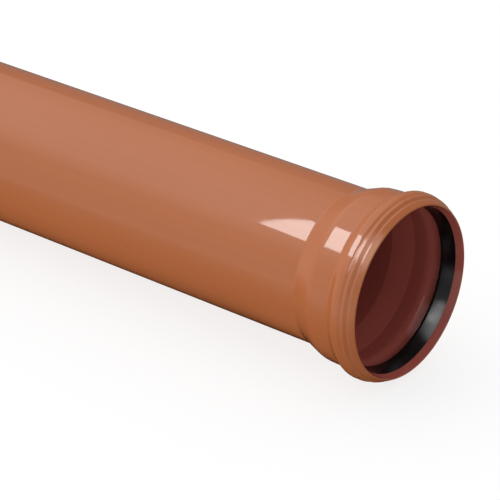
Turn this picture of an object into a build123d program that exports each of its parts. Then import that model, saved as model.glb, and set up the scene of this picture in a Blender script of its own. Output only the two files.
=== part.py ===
from build123d import *
import math
import os

os.makedirs("parts", exist_ok=True)

# Plastic drain pipe with a formed ring-seal socket.
# All sizes in millimetres. The pipe's axis is X and its socket opens towards +X.
# The origin is on the axis at the socket's root, where a fitted pipe's end stops.

# Pipe
pipe_diameter = 110.0
pipe_wall = 3.2
effective_length = 500.0        # from the socket's root to the spigot's end
spigot_chamfer_length = 6.0
spigot_chamfer_angle = 15.0

# Socket, from its root to its mouth
socket_depth = 38.0
spigot_clearance = 1.0          # all round, between a fitted pipe and the socket's bore
root_wall = 4.8
socket_taper = 0.8              # growth of the outside radius from the flare to the bead
flare_set_back = 0.6            # from the socket's root back to the end of the flare's outside
flare_length = 15.9             # the flare's outside
bore_flare_length = 16.0        # the flare's inside
flare_start_blend = 5.0         # radius of the bend where the barrel opens into the flare
flare_end_blend = 15.0          # radius of the softer bend where the flare ends
bore_blend = 11.5               # radius of the bend where the bore opens into the groove

# Bead around the seal's groove
bead_height = 3.7
bead_rise = 6.0                 # length of the slope at the bead's back
bead_crest = 4.8
bead_wall = 3.0
bead_blend = 4.0

# Rim in front of the bead, which steps down to the mouth in two fine ledges
rim_length = 11.0               # from the crest's front to the mouth
first_ledge_set_back = 9.1      # from the mouth to the ledge's back
first_ledge_drop = 0.8          # below the crest
first_ledge_width = 2.2
second_ledge_set_back = 4.9
second_ledge_drop = 2.6
second_ledge_width = 1.5
ledge_fall = 0.2                # from each ledge's back to its front
ledge_blend = 0.8               # radius of each ledge's front edge
mouth_drop = 4.8                # from the crest's radius to the outer edge of the end face
mouth_edge = 0.9                # width of the narrow end face
mouth_outer_blend = 1.2
mouth_inner_blend = 0.25
mouth_lead_in = 1.7             # narrowing of the rim's inside from the mouth to the seal
mouth_lead_in_length = 5.5
groove_front_height = 2.9       # of the groove's front wall, which leans back
groove_front_lean = 1.3

# Seal ring
seal_gap = 0.1                  # between the ring and its groove
seal_heel = 1.2                 # how far the ring's heel runs down the groove's back
lip_clearance = 0.8             # all round, between a fitted pipe and the lip
lip_reach = 11.0                # from the groove's front wall back to the lip's nose
lip_land = 2.0                  # flat under the lip, where it seals
lip_thickness = 2.0
lip_nose = 1.3                  # height of the blunt end of the lip
lip_bevel = 0.4                 # at the nose's inner edge
lip_hollow = 4.5                # depth of the hollow behind the lip

# Radii
pipe_radius = pipe_diameter / 2
barrel_bore_radius = pipe_radius - pipe_wall
chamfer_radius = pipe_radius - spigot_chamfer_length * math.tan(math.radians(spigot_chamfer_angle))
socket_bore_radius = pipe_radius + spigot_clearance
root_radius = socket_bore_radius + root_wall
crease_radius = root_radius + socket_taper
crest_radius = crease_radius + bead_height
groove_radius = crest_radius - bead_wall
mouth_radius = crest_radius - mouth_drop
mouth_bore_radius = mouth_radius - mouth_edge
land_radius = mouth_bore_radius - mouth_lead_in
groove_front_radius = land_radius + groove_front_height
lip_radius = pipe_radius + lip_clearance

# Stations along the axis
spigot_end = -effective_length
flare_end = -flare_set_back
flare_start = flare_end - flare_length
crest_front = socket_depth - rim_length
crest_back = crest_front - bead_crest
crease = crest_back - bead_rise
groove_front = socket_depth - mouth_lead_in_length
groove_top_front = groove_front - groove_front_lean
nose = groove_front - seal_gap - lip_reach


def bead_inside(radius, depth):
    """Station where a wall at this depth under the bead's rear slope has this radius."""
    rise = math.atan2(bead_height, bead_rise)
    return crease + (radius - crease_radius + depth / math.cos(rise)) / math.tan(rise)


def ledge(set_back, drop, width):
    """Outline points of one ledge, from its back to its front."""
    back = socket_depth - set_back
    return [
        (back, crest_radius - drop, 0),
        (back + width, crest_radius - drop - ledge_fall, ledge_blend),
    ]


# Each point of the pipe's outline is its station, its radius and the blend radius of its corner.
pipe_outline = [
    (spigot_end, barrel_bore_radius, 0),
    (spigot_end, chamfer_radius, 0),
    (spigot_end + spigot_chamfer_length, pipe_radius, 0),
    (flare_start, pipe_radius, flare_start_blend),
    (flare_end, root_radius, flare_end_blend),
    (crease, crease_radius, bead_blend),
    (crest_back, crest_radius, bead_blend),
    (crest_front, crest_radius, bead_blend),
    *ledge(first_ledge_set_back, first_ledge_drop, first_ledge_width),
    *ledge(second_ledge_set_back, second_ledge_drop, second_ledge_width),
    (socket_depth, mouth_radius, mouth_outer_blend),
    (socket_depth, mouth_bore_radius, mouth_inner_blend),
    (groove_front, land_radius, 0),
    (groove_top_front, groove_front_radius, 0),
    (bead_inside(groove_radius, bead_wall), groove_radius, 0),
    (bead_inside(socket_bore_radius, bead_wall), socket_bore_radius, bore_blend),
    (0, socket_bore_radius, 0),
    (-bore_flare_length, barrel_bore_radius, 0),
]

heel_radius = groove_radius - seal_gap - seal_heel
seat_radius = groove_radius - seal_gap
front_slope = (land_radius - lip_radius) / (lip_reach - lip_land)
hollow_radius = lip_radius + front_slope * (lip_hollow - lip_land) + lip_thickness

seal_outline = [
    (bead_inside(heel_radius, bead_wall + seal_gap), heel_radius),
    (bead_inside(seat_radius, bead_wall + seal_gap), seat_radius),
    (groove_top_front - seal_gap, groove_front_radius - seal_gap),
    (groove_front - seal_gap, land_radius),
    (nose + lip_land, lip_radius),
    (nose + lip_bevel, lip_radius),
    (nose, lip_radius + lip_bevel),
    (nose, lip_radius + lip_nose),
    (nose + lip_hollow, hollow_radius),
]

with BuildPart() as pipe:
    with BuildSketch(Plane.XZ):
        with BuildLine():
            FilletPolyline(
                [(station, radius) for station, radius, blend in pipe_outline],
                radius=[blend for station, radius, blend in pipe_outline],
                close=True,
            )
        make_face()
    revolve(axis=Axis.X)

with BuildPart() as seal_ring:
    with BuildSketch(Plane.XZ):
        with BuildLine():
            Polyline(seal_outline, close=True)
        make_face()
    revolve(axis=Axis.X)

pipe.part.label = "pipe"
seal_ring.part.label = "seal_ring"
export_step(pipe.part, "parts/pipe.step")
export_step(seal_ring.part, "parts/seal_ring.step")
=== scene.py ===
import math

import bpy
from mathutils import Matrix, Vector


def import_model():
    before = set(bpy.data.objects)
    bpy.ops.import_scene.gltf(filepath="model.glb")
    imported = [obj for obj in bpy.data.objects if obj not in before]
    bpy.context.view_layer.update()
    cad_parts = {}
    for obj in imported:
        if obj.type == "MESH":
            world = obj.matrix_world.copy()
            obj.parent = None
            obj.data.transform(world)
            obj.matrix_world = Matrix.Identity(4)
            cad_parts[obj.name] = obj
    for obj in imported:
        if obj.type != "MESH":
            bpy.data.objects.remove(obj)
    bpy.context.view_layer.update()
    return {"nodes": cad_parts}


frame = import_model()
nodes = frame["nodes"]
scene = bpy.context.scene

# The pipe lies along X with its socket towards +X. Stations are in metres from the socket's root.
SPIGOT_END = -0.5
CHAMFER_START = -0.494
LINES_FADE = -0.036             # from here the socket's forming blurs the extrusion lines
FLARE_START = -0.018            # where they have faded most
MARKS_START = 0.010             # the turning marks grow from here, behind the bead
MARKS_FULL = 0.022              # to here, at the bead's crest
DULL_INSIDE_END = 0.0189        # the inside mirrors less as far as here, just behind the lip
BEAD_FOOT = 0.0248              # where the bead touches the floor
LEDGES_BACK = 0.0282            # just behind the rim's two ledges
BEAD_RADIUS = 0.0653
PIPE_RADIUS = 0.055

# In the photo the lip mirrors like a steeper one: its shading is tipped towards the mouth, most at the front.
# The tangent of the tip is twice LIP_TIP times the distance from LIP_TIP_START.
LIP_TIP_START = 0.0129
LIP_TIP = 5.5

# Softbox: the way to it from the origin, its turn about that way, and its size. One of its corners lies
# BOX_CORNER sideways and up from the point at BOX_DISTANCE.
BOX_TOWARDS = (-0.564, -0.387, 0.730)
BOX_DISTANCE = 0.30
BOX_TURN = math.radians(121.3)
BOX_CORNER = (0.026, -0.054)
BOX_SIZE = (0.19, 0.118)
BOX_RADIANCE = 7.5

# Strip: the azimuth from +X and the elevation at which it stands from the origin
STRIP_AT = (math.radians(-68), math.radians(43))
STRIP_DISTANCE = 1.2
STRIP_SIZE = (0.20, 0.60)
STRIP_RADIANCE = 4.0

# Soft bright patch in the sky that gloss sees, which gives the pale line along the mouth's edge.
# Its edge and its core are the cosines of their angles from its middle.
PATCH_TOWARDS = (0.472, -0.396, 0.788)
PATCH_EDGE = 0.905
PATCH_CORE = 0.975
PATCH_RADIANCE = 2.8

# Camera: its axes and its place
CAMERA_RIGHT = (0.76910, 0.63913, 0.0)
CAMERA_UP = (-0.28900, 0.34777, 0.89193)
CAMERA_BACK = (0.57006, -0.68598, 0.45218)
CAMERA_PLACE = (0.91281, -1.21732, 0.78951)
CAMERA_LENS = 185.93


class Graph:
    """A material's or the world's node tree, with short ways to add to it."""

    def __init__(self, tree):
        self.tree = tree
        self.tree.nodes.clear()

    def add(self, kind, **sockets):
        """New node, with its sockets set by their names in lower case."""
        node = self.tree.nodes.new(kind)
        for name, value in sockets.items():
            socket = next(s for s in node.inputs if s.name.lower().replace(" ", "_") == name)
            self.put(socket, value)
        return node

    def put(self, socket, value):
        if isinstance(value, bpy.types.NodeSocket):
            self.tree.links.new(value, socket)
        else:
            socket.default_value = value

    def split(self, vector):
        """The vector's X, Y and Z."""
        return self.add("ShaderNodeSeparateXYZ", vector=vector).outputs

    def math(self, operation, *values, clamp=False):
        node = self.add("ShaderNodeMath")
        node.operation = operation
        node.use_clamp = clamp
        for socket, value in zip(node.inputs, values):
            self.put(socket, value)
        return node.outputs[0]

    def dot(self, a, b):
        node = self.add("ShaderNodeVectorMath")
        node.operation = "DOT_PRODUCT"
        self.put(node.inputs[0], a)
        self.put(node.inputs[1], b)
        return node.outputs["Value"]

    def ramp(self, value, low, high, to_low=0.0, to_high=1.0):
        """Value from low to high becomes to_low to to_high, smoothly, and stays there outside."""
        ends = {"from_min": low, "from_max": high, "to_min": to_low, "to_max": to_high}
        node = self.add("ShaderNodeMapRange", value=value, **ends)
        node.interpolation_type = "SMOOTHSTEP"
        return node.outputs[0]

    def noise(self, vector, scale, detail=3.0, roughness=0.5):
        node = self.add("ShaderNodeTexNoise", vector=vector, scale=scale, detail=detail, roughness=roughness)
        return node.outputs["Fac"]

    def stretched(self, vector, scale, detail=3.0, roughness=0.5):
        """Noise with its own scale along each axis."""
        spread = self.add("ShaderNodeMapping", vector=vector, scale=scale).outputs[0]
        return self.noise(spread, 1.0, detail, roughness)

    def rings(self, xyz, scale):
        """Noise that is the same all the way round the pipe's axis, like turning marks."""
        squares = (self.math("POWER", xyz[axis], 2.0) for axis in "YZ")
        radius = self.math("SQRT", self.math("ADD", *squares))
        along = self.math("MULTIPLY", xyz["X"], scale)
        out = self.math("MULTIPLY", radius, scale)
        place = self.add("ShaderNodeCombineXYZ", x=along, y=out).outputs[0]
        return self.noise(place, 1.0, 2.0)

    def mix(self, factor, a, b):
        node = self.add("ShaderNodeMix")
        node.data_type = "RGBA"
        self.put(node.inputs[0], factor)
        self.put(node.inputs[6], a)
        self.put(node.inputs[7], b)
        return node.outputs[2]

    def bump(self, height, strength, distance, **under):
        """Relief, on top of another relief where normal gives one."""
        node = self.add("ShaderNodeBump", height=height, strength=strength, distance=distance, **under)
        return node.outputs[0]

    def output(self, kind, shader):
        self.add(kind, surface=shader.outputs[0])


def colour(r, g, b):
    return (r, g, b, 1.0)


def grey(value):
    return colour(value, value, value)


def new_material(name):
    material = bpy.data.materials.new(name)
    material.use_nodes = True
    return material, Graph(material.node_tree)


def plastic():
    material, g = new_material("orange_brown_plastic")
    place = g.add("ShaderNodeTexCoord").outputs["Object"]
    xyz = g.split(place)
    x = xyz["X"]

    # Colour: slow tone changes, faint streaks along the extrusion and a fine pigment grain
    slow = g.stretched(place, (3.0, 14.0, 14.0))
    streak = g.stretched(place, (1.2, 260.0, 260.0), 4.0, 0.6)
    grain = g.noise(place, 2600.0, 2.0, 0.6)
    base = g.mix(g.ramp(slow, 0.3, 0.7), colour(0.445, 0.136, 0.048), colour(0.470, 0.148, 0.054))
    base = g.mix(g.ramp(streak, 0.35, 0.75, 0.0, 0.22), base, colour(0.400, 0.116, 0.040))
    base = g.mix(g.ramp(grain, 0.62, 0.80, 0.0, 0.35), base, colour(0.370, 0.104, 0.036))

    # The cut end and its chamfer are machined: paler and duller, with turning lines
    cut = g.ramp(x, SPIGOT_END + 0.0002, CHAMFER_START + 0.0001, 1.0, 0.0)
    base = g.mix(g.math("MULTIPLY", cut, 0.55), base, colour(0.540, 0.215, 0.100))

    # Painted shade: inside, where the wall faces the axis, the colour is a little redder, mostly near the
    # socket, standing in for the tint of light bounced about the shaded bore
    around = g.add("ShaderNodeCombineXYZ", y=xyz["Y"], z=xyz["Z"]).outputs[0]
    facing = g.dot(around, g.add("ShaderNodeTexCoord").outputs["Normal"])
    inside = g.ramp(facing, -0.03, 0.0, 1.0, 0.0)
    painted_shade_tint = g.math("MULTIPLY", inside, g.ramp(x, -0.25, -0.05, 0.15, 0.8))
    base = g.mix(painted_shade_tint, base, colour(0.440, 0.100, 0.092))

    # Relief: extrusion lines on the barrel, which the socket's forming has blurred, and turning marks
    barrel = g.ramp(x, LINES_FADE, FLARE_START, 1.0, 0.25)
    lines = g.stretched(place, (0.8, 420.0, 420.0), 3.0, 0.55)
    relief = g.bump(g.math("MULTIPLY", lines, barrel), 0.04, 0.0002)
    waves = g.stretched(place, (22.0, 40.0, 40.0), 2.0)
    relief = g.bump(waves, 0.03, 0.001, normal=relief)
    formed = g.ramp(x, MARKS_START, MARKS_FULL, 0.0, 0.35)
    marks = g.math("MULTIPLY", g.rings(xyz, 2600.0), g.math("MAXIMUM", formed, cut))
    relief = g.bump(marks, 0.10, 0.0002, normal=relief)

    # Gloss: even on the barrel, duller on the cut end and on the rim's ledges
    rough = g.ramp(streak, 0.3, 0.8, 0.055, 0.085)
    rough = g.math("ADD", rough, g.ramp(slow, 0.3, 0.7, 0.0, 0.02))
    rough = g.math("ADD", rough, g.math("MULTIPLY", cut, 0.25))
    outside = g.math("SUBTRACT", 1.0, inside)
    ledges = g.math("MULTIPLY", outside, g.ramp(x, LEDGES_BACK, LEDGES_BACK + 0.001, 0.0, 0.13))
    rough = g.math("ADD", rough, ledges)

    # The inside mirrors less, up to just behind the seal's lip
    less = g.math("MULTIPLY", inside, g.ramp(x, DULL_INSIDE_END, DULL_INSIDE_END + 0.0005, 0.42, 0.0))
    mirrors = g.math("SUBTRACT", 0.5, less)

    shader = g.add(
        "ShaderNodeBsdfPrincipled",
        base_color=base,
        roughness=rough,
        ior=1.53,
        specular_ior_level=mirrors,
        normal=relief,
    )
    g.output("ShaderNodeOutputMaterial", shader)
    return material


def rubber():
    material, g = new_material("black_rubber")
    place = g.add("ShaderNodeTexCoord").outputs["Object"]
    xyz = g.split(place)
    marks = g.rings(xyz, 1500.0)
    bloom = g.noise(place, 60.0, 4.0, 0.6)
    grain = g.noise(place, 3000.0, 2.0)
    base = g.mix(g.ramp(bloom, 0.4, 0.75), grey(0.004), grey(0.008))
    rough = g.math("ADD", g.ramp(bloom, 0.3, 0.7, 0.13, 0.18), g.ramp(marks, 0.3, 0.7, 0.0, 0.05))
    ahead = g.math("SUBTRACT", xyz["X"], LIP_TIP_START)
    tip = g.math("MULTIPLY", g.math("POWER", ahead, 2.0), -LIP_TIP)
    relief = g.bump(tip, 1.0, 1.0)
    relief = g.bump(marks, 0.12, 0.0002, normal=relief)
    relief = g.bump(grain, 0.10, 0.0001, normal=relief)
    shader = g.add("ShaderNodeBsdfPrincipled", base_color=base, roughness=rough, ior=1.5, normal=relief)
    g.output("ShaderNodeOutputMaterial", shader)
    return material


def dress(name, material):
    mesh = nodes[name].data
    mesh.materials.clear()
    mesh.materials.append(material)


def floor():
    """A pale floor on which the bead and the spigot's end rest. Gloss sees it fade to dark near the pipe."""
    slope = (BEAD_RADIUS - PIPE_RADIUS) / (BEAD_FOOT - CHAMFER_START)
    reach = 4.0
    edges = ((-reach, -reach), (reach, -reach), (reach, reach), (-reach, reach))
    corners = [(x, y, -BEAD_RADIUS + slope * (BEAD_FOOT - x)) for x, y in edges]
    mesh = bpy.data.meshes.new("floor")
    mesh.from_pydata(corners, [], [(0, 1, 2, 3)])
    plane = bpy.data.objects.new("floor", mesh)
    scene.collection.objects.link(plane)

    material, g = new_material("pale_floor")
    path = g.add("ShaderNodeLightPath").outputs
    xyz = g.split(g.add("ShaderNodeNewGeometry").outputs["Position"])
    near_side = g.ramp(xyz["Y"], -0.30, -0.08, 0.60, 0.0)
    far_side = g.ramp(xyz["Y"], 0.08, 0.30, 0.0, 0.18)
    mirrored = g.math("MULTIPLY", path["Is Glossy Ray"], g.math("ADD", near_side, far_side))
    seen = g.math("MAXIMUM", path["Is Camera Ray"], path["Is Transmission Ray"])
    strength = g.math("MULTIPLY_ADD", seen, 0.80, mirrored)

    # The light it sends back to matt surfaces, less so in front of the mouth
    sent_back = g.ramp(xyz["X"], -0.02, 0.10, 0.85, 0.30)
    strength = g.math("MULTIPLY_ADD", path["Is Diffuse Ray"], sent_back, strength)

    diffuse = g.add("ShaderNodeBsdfDiffuse", color=g.mix(path["Is Glossy Ray"], grey(0.20), grey(0.0)))
    glow = g.add("ShaderNodeEmission", color=grey(1.0), strength=strength)
    both = g.add("ShaderNodeAddShader")
    g.put(both.inputs[0], diffuse.outputs[0])
    g.put(both.inputs[1], glow.outputs[0])
    g.output("ShaderNodeOutputMaterial", both)
    mesh.materials.append(material)


def world():
    """Pale light for matt surfaces and the camera, and a sky of its own for gloss."""
    scene.world = bpy.data.worlds.new("studio")
    scene.world.use_nodes = True
    g = Graph(scene.world.node_tree)
    way = g.add("ShaderNodeTexCoord").outputs["Generated"]
    xyz = g.split(way)

    # Plain light: less from in front of the mouth, but more from straight ahead, down the pipe
    plain = g.ramp(xyz["X"], -0.3, 0.45, 1.58, 0.42)
    plain = g.math("ADD", plain, g.ramp(xyz["X"], 0.75, 0.95, 0.0, 0.80))

    # Gloss: the sky dims towards the horizon, behind the pipe and in front of the mouth
    horizon = g.ramp(xyz["Y"], -0.20, 0.65, 0.62, 0.18)
    front = g.ramp(xyz["Z"], 0.28, 0.70, horizon, 1.36)
    behind = g.math("MULTIPLY_ADD", xyz["Y"], 1 / 1.05, 0.25 / 1.05, clamp=True)
    back = g.math("MULTIPLY_ADD", g.math("POWER", behind, 1.6), -1.20, 1.36)
    mirrored = g.math("MINIMUM", front, back)
    ahead = g.ramp(xyz["Z"], 0.25, 0.75, 0.65, 0.08)
    mirrored = g.math("MULTIPLY", mirrored, g.ramp(xyz["X"], -0.35, 0.10, 1.0, ahead))
    near_patch = g.dot(way, PATCH_TOWARDS)
    patch = g.ramp(near_patch, PATCH_EDGE, PATCH_CORE, 0.0, PATCH_RADIANCE)
    mirrored = g.math("ADD", mirrored, patch)

    gloss = g.add("ShaderNodeLightPath").outputs["Is Glossy Ray"]
    plain = g.math("MULTIPLY", plain, g.math("SUBTRACT", 1.0, gloss))
    strength = g.math("MULTIPLY_ADD", mirrored, gloss, plain)
    background = g.add("ShaderNodeBackground", color=grey(1.0), strength=strength)
    g.output("ShaderNodeOutputWorld", background)


def placed(across, along, back, place):
    """The matrix of an object with these axes at this place."""
    columns = [Vector(axis).to_4d() for axis in (across, along, back, place)]
    for column, last in zip(columns, (0, 0, 0, 1)):
        column.w = last
    return Matrix(columns).transposed()


def lamp(name, size, radiance, centre, across, along):
    """A rectangular lamp that lights reflections only. It shines away from across x along."""
    light = bpy.data.lights.new(name, "AREA")
    light.shape = "RECTANGLE"
    light.size, light.size_y = size
    light.energy = radiance * math.pi * size[0] * size[1]
    box = bpy.data.objects.new(name, light)
    box.visible_camera = False
    box.visible_diffuse = False
    box.matrix_world = placed(across, along, across.cross(along), centre)
    scene.collection.objects.link(box)


def softbox():
    """The bright rectangle that the barrel, the socket and the bead mirror, left of and above the socket."""
    towards = Vector(BOX_TOWARDS).normalized()
    side = Vector((0, 0, 1)).cross(towards).normalized()
    up = towards.cross(side)
    along = side * math.cos(BOX_TURN) + up * math.sin(BOX_TURN)
    across = side * math.sin(BOX_TURN) - up * math.cos(BOX_TURN)
    corner = towards * BOX_DISTANCE + side * BOX_CORNER[0] + up * BOX_CORNER[1]
    centre = corner + across * BOX_SIZE[0] / 2 + along * BOX_SIZE[1] / 2
    lamp("softbox", BOX_SIZE, BOX_RADIANCE, centre, across, along)


def strip():
    """A long softbox beside the mouth, mirrored by the seal's lip and by the rim's fine edges."""
    azimuth, elevation = STRIP_AT
    level = Vector((math.cos(azimuth), math.sin(azimuth), 0.0))
    towards = level * math.cos(elevation) + Vector((0.0, 0.0, math.sin(elevation)))
    across = Vector((-math.sin(azimuth), math.cos(azimuth), 0.0))
    along = towards.cross(across)
    lamp("strip", STRIP_SIZE, STRIP_RADIANCE, towards * STRIP_DISTANCE, across, along)


def camera():
    lens = bpy.data.cameras.new("camera")
    lens.sensor_width = 36.0
    lens.lens = CAMERA_LENS
    lens.clip_start = 0.05
    lens.clip_end = 30.0
    eye = bpy.data.objects.new("camera", lens)
    eye.matrix_world = placed(CAMERA_RIGHT, CAMERA_UP, CAMERA_BACK, CAMERA_PLACE)
    scene.collection.objects.link(eye)
    scene.camera = eye


dress("pipe", plastic())
dress("seal_ring", rubber())
floor()
world()
softbox()
strip()
camera()

scene.view_settings.view_transform = "Standard"
